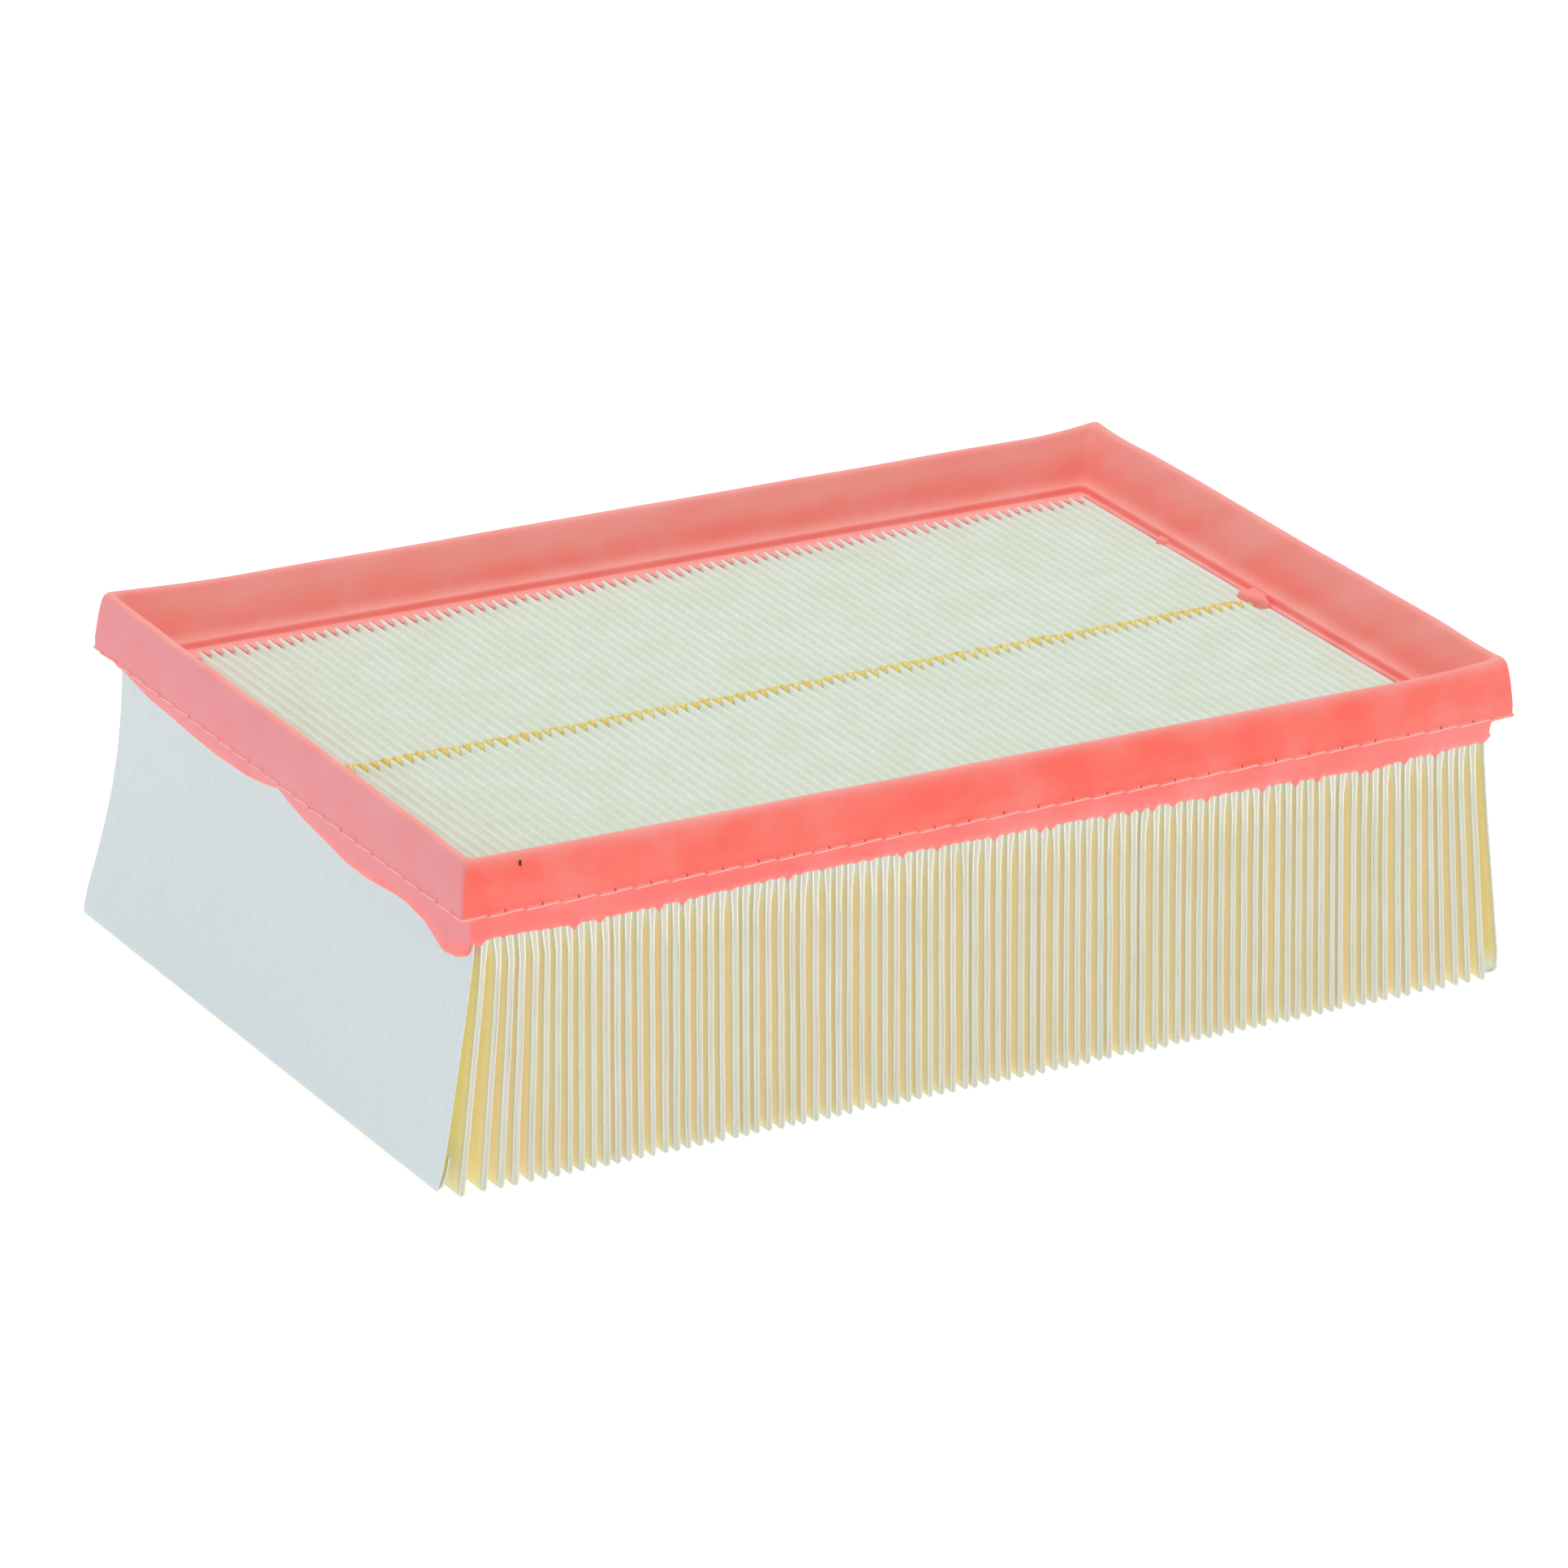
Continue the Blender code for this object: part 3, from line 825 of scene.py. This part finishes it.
def fold_path():
    """The sheet's centre line from left to right: x, z and which tongue it belongs to."""
    path = [(LEFT_PANEL_X + inwards, z, -1) for inwards, z in LEFT_FOOT]
    path += [(LEFT_PANEL_X, z, -1) for z in WALL_HEIGHTS[-2::-1]]
    for index in range(PLEATS):
        centre = tongue_centre(index)
        tip_half = half_width(index, 0.0)
        tip_z = TONGUE_TIP_HALF + PAPER / 2
        down = [(centre - half_width(index, z), z, index) for z in WALL_HEIGHTS]
        tip = [
            (centre + tip_half * math.cos(a), tip_z + TONGUE_TIP_HALF * math.sin(a), index)
            for a in TIP_ARC
        ]
        up = [(centre + half_width(index, z), z, index) for z in WALL_HEIGHTS[::-1]]
        path += ridge_points(path[-1][0], down[0][0], index - 0.5) + down + tip + up
    path += ridge_points(path[-1][0], RIGHT_PANEL_X, PLEATS - 0.5)
    path += [(RIGHT_PANEL_X, z, PLEATS) for z in WALL_HEIGHTS[:-1]]
    path += [(RIGHT_PANEL_X - inwards, z, PLEATS) for inwards, z in RIGHT_FOOT[::-1]]
    return np.array(path)


def path_normals(path):
    """Unit normals in the XZ plane, to the left of the way the path runs."""
    ahead = np.gradient(path[:, :2], axis=0)
    normal = np.stack([-ahead[:, 1], ahead[:, 0]], axis=1)
    return normal / np.linalg.norm(normal, axis=1)[:, None]


def moved_section(x, z, index, end):
    """A section's points with the lean and the drift that the tongue has at one depth."""
    number = np.clip(np.floor(index), -1, PLEATS).astype(int) + 1
    after = np.clip(np.ceil(index), -1, PLEATS).astype(int) + 1
    share = index - np.floor(index)
    lean = LEANS[number] * (1 - share) + LEANS[after] * share
    shift = (1 - end) * DRIFT_SHIFT[0] + end * DRIFT_SHIFT[1]
    rise = (1 - end) * DRIFT_RISE[0] + end * DRIFT_RISE[1]
    power = LEAN_POWER + 0.9 * end * np.clip(1 - index / 8, 0, 1)
    loosened = 1 - smooth_step(z, 56.0, 61.0)
    moved = x + lean * lean_share(z, power) + shift[number] * loosened
    return moved, z + (rise[number] - TIP_DROP) * (1 - np.clip(z / 20, 0, 1))


def pleat_paper(material):
    """The whole sheet: its fold line given a thickness, and drawn along the folds."""
    path = fold_path()
    normals = path_normals(path)
    upper = path[:, :2] + normals * PAPER / 2
    lower = path[:, :2] - normals * PAPER / 2
    loop = np.concatenate([upper, lower[::-1]])
    loop_index = np.concatenate([path[:, 2], path[::-1, 2]])
    centre_z = np.concatenate([path[:, 1], path[::-1, 1]])
    on_upper = np.arange(len(loop)) < len(path)
    is_panel = (loop_index < 0) | (loop_index >= PLEATS)
    stations = np.concatenate([-DEPTH_STATIONS[:0:-1], DEPTH_STATIONS])
    rows, valley, painted_gap_shade, lit, panel, painted_end_gap_shade = [], [], [], [], [], []
    for station in stations:
        x, z = moved_section(loop[:, 0], loop[:, 1], loop_index, (station + 1) / 2)
        half = pack_half_depth(centre_z)
        half = half - is_panel * 3.2 * np.clip(1 - centre_z / 4.5, 0, 1) ** 2
        y = station * half
        slack = np.clip((z - 1.0) / 4.0, 0, 1) * np.clip((64.0 - z) / 6.0, 0, 1)
        x = x + 0.10 * slack * wave_noise(loop_index * 9.0, y + z, 61, longest=90.0, shortest=25.0)
        crease = np.exp(-(((y - 86.0 - 0.07 * (60 - z)) / 0.8) ** 2)) * (loop_index < 0)
        x = x - 0.4 * crease * slack
        rows.append(np.stack([x, y, z], axis=1))
        from_edge = half * (1 - abs(station))
        free = np.clip(z / 0.25, 0, 1) * np.clip((61.8 - z) / 5.0, 0, 1)
        free = free * np.where(is_panel, z > 3.0, True)
        # Painted shade: yellow-tan inside the gaps, stronger further in from the cut edge; painted light:
        # the same faces get more emission further in, so the gaps don't go dark
        in_gap = smooth_step(from_edge, 0.05, 2.0)
        painted_gap_shade.append(free * (0.38 + 0.62 * in_gap) * ~on_upper)
        lit.append(np.clip(z / 0.25, 0, 1) * in_gap * ~on_upper)
        # Painted shade and painted light in the valleys just under the ridge tops
        valley.append(np.clip((68.55 - z) / 1.6, 0, 1) * (z > 55) * on_upper * ~is_panel)
        # The end panels' upper faces take the painted bluish-grey shade
        panel.append(1.0 * (is_panel & on_upper))
        # Painted shade: the gaps of the first and last few tongues go darker yellow
        near_end = np.exp(-(loop_index + 1) / 1.2) + 0.45 * np.exp(-(PLEATS - loop_index) / 1.2)
        painted_end_gap_shade.append(np.clip(near_end, 0, 1) * painted_gap_shade[-1])
    points = np.array(rows)
    across, around = points.shape[:2]
    faces = [list(face) for face in grid_faces(across, around, False, True)]
    for row in (0, across - 1):
        first = row * around
        for k in range(len(path) - 1):
            cap = [first + k, first + k + 1, first + around - 2 - k, first + around - 1 - k]
            faces.append(cap if row else cap[::-1])
    piece = new_piece(
        "pleat_paper", points.reshape(-1, 3), faces, material, ["pleated_media"]
    )
    store_value(piece, "valley", valley)
    store_value(piece, "painted_gap_shade", painted_gap_shade)
    store_value(piece, "panel", panel)
    store_value(piece, "painted_end_gap_shade", painted_end_gap_shade)
    # Painted light: emission in the valleys and inside the gaps
    store_value(piece, "painted_glow", np.clip(np.array(valley) + np.array(lit), 0, 1))


GLUE_DEPTH = 3.0


def edge_glue(name, side, material, replaced):
    """The glue that closes the tongues at one long side, one strip in each."""
    shapes = Blobs()
    heights = np.concatenate([WALL_HEIGHTS[:-1], [2.2, 1.2, 0.75, 0.5]])
    inner_half = TONGUE_TIP_HALF - PAPER / 2
    for index in range(PLEATS):
        sections = []
        for height in heights:
            half = half_width(index, height) - PAPER / 2 + 0.03
            under = height - (inner_half + PAPER)
            if under < 0:
                half = math.sqrt(max(0.02, 1 - (under / (inner_half + 0.03)) ** 2)) * half
            bulge = 0.14 * min(1.0, half / 0.4)
            across = half * np.array([-1.0, -1.0, -0.9, -0.45, 0.0, 0.45, 0.9, 1.0, 1.0])
            swell = bulge * np.array([0.85, 1.0, 0.85])
            out = np.array([-GLUE_DEPTH, -0.3, 0.02, *swell, 0.02, -0.3, -GLUE_DEPTH])
            x, z = moved_section(
                tongue_centre(index) + across, np.full(len(across), height),
                np.full(len(across), float(index)), 0.0 if side < 0 else 1.0,
            )
            y = side * (pack_half_depth(height) + out)
            sections.append(np.stack([x, y, z], axis=1))
        shapes.add_loft(sections)
    shapes.piece(name, material, "edge_glue", [replaced])


# ------------------------------------------------------------------ hot-melt beads


STRAP_STATIONS = 9
STRAP_SIDES = 8
STRAP_CLEARANCE = 0.02


def glue_strap(shapes, spine_start, spine_end, radius, angles, widths, thickness):
    """A thin strap of glue round a fold, whose axis runs from spine_start to spine_end.

    The strap follows an arc of the given radius between two angles in degrees. Its half
    width is widths[0] at the middle of the arc and widths[1] at the ends.
    """
    sections = []
    for step, angle in enumerate(np.radians(np.linspace(*angles, STRAP_STATIONS))):
        share = step / (STRAP_STATIONS - 1)
        direction = np.array([math.cos(angle), 0, math.sin(angle)])
        spine = spine_start + (spine_end - spine_start) * share + direction * radius
        width = widths[0] + (widths[1] - widths[0]) * abs(2 * share - 1)
        ring = []
        for turn in np.linspace(0, 2 * math.pi, STRAP_SIDES, endpoint=False):
            ring.append(spine + np.array([0, width * math.cos(turn), 0])
                        + direction * thickness * math.sin(turn))
        sections.append(ring)
    shapes.add_loft(sections)


def top_bead(material):
    """A blob of glue in each valley, and a thin string of it over each ridge."""
    shapes = Blobs()
    draw = np.random.default_rng(71)
    for index in TOP_BEAD_TONGUES:
        centre = tongue_centre(index)
        y = draw.uniform(-0.5, 0.5)
        radii = (0.85, draw.uniform(1.6, 2.4), draw.uniform(1.15, 1.35))
        shapes.add_ellipsoid((centre, y, 67.75 + draw.uniform(-0.15, 0.15)), radii, 16, 10)
        if index == TOP_BEAD_TONGUES[-1]:
            continue
        next_y = y + 0.9 + draw.uniform(-0.25, 0.25)
        ridge = np.array([centre + PITCH / 2, y, RIDGE_TOP - PAPER / 2 - RIDGE_HALF])
        ridge_end = np.array([ridge[0], next_y, ridge[2]])
        radius = RIDGE_HALF + PAPER / 2 + STRAP_CLEARANCE
        glue_strap(shapes, ridge, ridge_end, radius, (200, -20), (0.50, 0.80), 0.15)
    shapes.piece("top_bead", material, "hot_melt", ["top_glue_bead"])


def bottom_bead(material):
    """The same bead on the underside: glue in each gap, and a film round each tip."""
    shapes = Blobs()
    draw = np.random.default_rng(73)
    for index in BOTTOM_BEAD_TONGUES:
        x, z = moved_section(
            np.array([tongue_centre(index)]), np.array([1.0]), np.array([float(index)]), 0.5
        )
        x, z = float(x[0]), float(z[0]) - 1.0
        y = draw.uniform(-0.3, 0.3)
        radii = (0.82, draw.uniform(1.4, 1.9), 1.15)
        if index < BOTTOM_BEAD_TONGUES[-1]:
            shapes.add_ellipsoid((x + PITCH / 2, y, 1.25), radii, 14, 9)
        tip = np.array([x, y, z + TONGUE_TIP_HALF + PAPER / 2])
        radius = TONGUE_TIP_HALF + PAPER / 2 + STRAP_CLEARANCE
        glue_strap(shapes, tip, tip, radius, (165, 375), (0.85, 0.85), 0.12)
    shapes.piece("bottom_bead", material, "hot_melt", ["bottom_glue_bead"])


# ------------------------------------------------------------------ studio


def set_camera():
    data = bpy.data.cameras.new("camera")
    data.sensor_width = SENSOR
    data.lens = CAMERA_LENS
    data.clip_start = 0.05
    data.clip_end = 50.0
    camera = bpy.data.objects.new("camera", data)
    bpy.context.scene.collection.objects.link(camera)
    sine_a, cosine_a = math.sin(CAMERA_AZIMUTH), math.cos(CAMERA_AZIMUTH)
    sine_e, cosine_e = math.sin(CAMERA_ELEVATION), math.cos(CAMERA_ELEVATION)
    back = Vector((sine_a * cosine_e, -cosine_a * cosine_e, sine_e))
    level = Vector((cosine_a, sine_a, 0.0))
    above = back.cross(level)
    right = level * math.cos(CAMERA_ROLL) + above * math.sin(CAMERA_ROLL)
    up = above * math.cos(CAMERA_ROLL) - level * math.sin(CAMERA_ROLL)
    place_at = Vector(place(CAMERA_TARGET)) + back * CAMERA_DISTANCE * MM
    turned = Matrix((right, up, back)).transposed().to_4x4()
    camera.matrix_world = Matrix.Translation(place_at) @ turned
    bpy.context.scene.camera = camera


def area_light(name, location, size, power, color):
    data = bpy.data.lights.new(name, "AREA")
    data.shape = "RECTANGLE"
    data.size, data.size_y = size
    data.energy = power
    data.color = color
    light = bpy.data.objects.new(name, data)
    bpy.context.scene.collection.objects.link(light)
    light.location = location
    aim = Vector((CENTRE_X, 0.0, 0.04)) - light.location
    light.rotation_euler = aim.to_track_quat("-Z", "Y").to_euler()


def studio():
    world = bpy.data.worlds.new("studio")
    bpy.context.scene.world = world
    world.use_nodes = True
    background = world.node_tree.nodes["Background"]
    background.inputs["Color"].default_value = (0.97, 0.985, 1.0, 1)
    background.inputs["Strength"].default_value = 0.60
    area_light("front_softbox", (0.35, -1.7, 1.15), (1.6, 1.2), 6.6, (1.0, 0.975, 0.94))
    area_light("left_softbox", (-1.7, 0.15, 0.85), (1.4, 1.2), 3.8, (0.90, 0.96, 1.0))
    area_light("top_softbox", (0.1, 0.5, 1.7), (1.8, 1.4), 12.0, (1.0, 1.0, 0.98))

    mesh = bpy.data.meshes.new("floor")
    half = 8.0
    corners = [(-half, -half, 0), (half, -half, 0), (half, half, 0), (-half, half, 0)]
    mesh.from_pydata(corners, [], [(0, 1, 2, 3)])
    floor = bpy.data.objects.new("floor", mesh)
    bpy.context.scene.collection.objects.link(floor)
    floor.location.z = -0.0001
    material, nodes, links, shader = new_material("studio_floor")
    cloud = noise(nodes, links, object_coordinates(nodes), 3.0, 2.0)
    color = ramp(nodes, links, cloud, [(0.3, (0.80, 0.80, 0.80)), (0.7, (0.82, 0.82, 0.82))])
    links.new(color, shader.inputs["Base Color"])
    shader.inputs["Roughness"].default_value = 0.9
    links.new(color, shader.inputs["Emission Color"])
    shader.inputs["Emission Strength"].default_value = 0.70
    mesh.materials.append(material)
    bpy.context.scene.view_settings.view_transform = "Standard"


def build():
    set_camera()
    foam = foam_material()
    paper = paper_material()
    seam = edge_glue_material()
    melt = hot_melt_material()
    foam_frame(foam)
    foam_lumps(foam)
    moulding_nubs(foam, dark_red_material())
    wall_fleck(fleck_material())
    pleat_paper(paper)
    edge_glue("front_seam", -1, seam, "front_edge_glue")
    edge_glue("rear_seam", 1, seam, "rear_edge_glue")
    top_bead(melt)
    bottom_bead(melt)
    studio()


build()
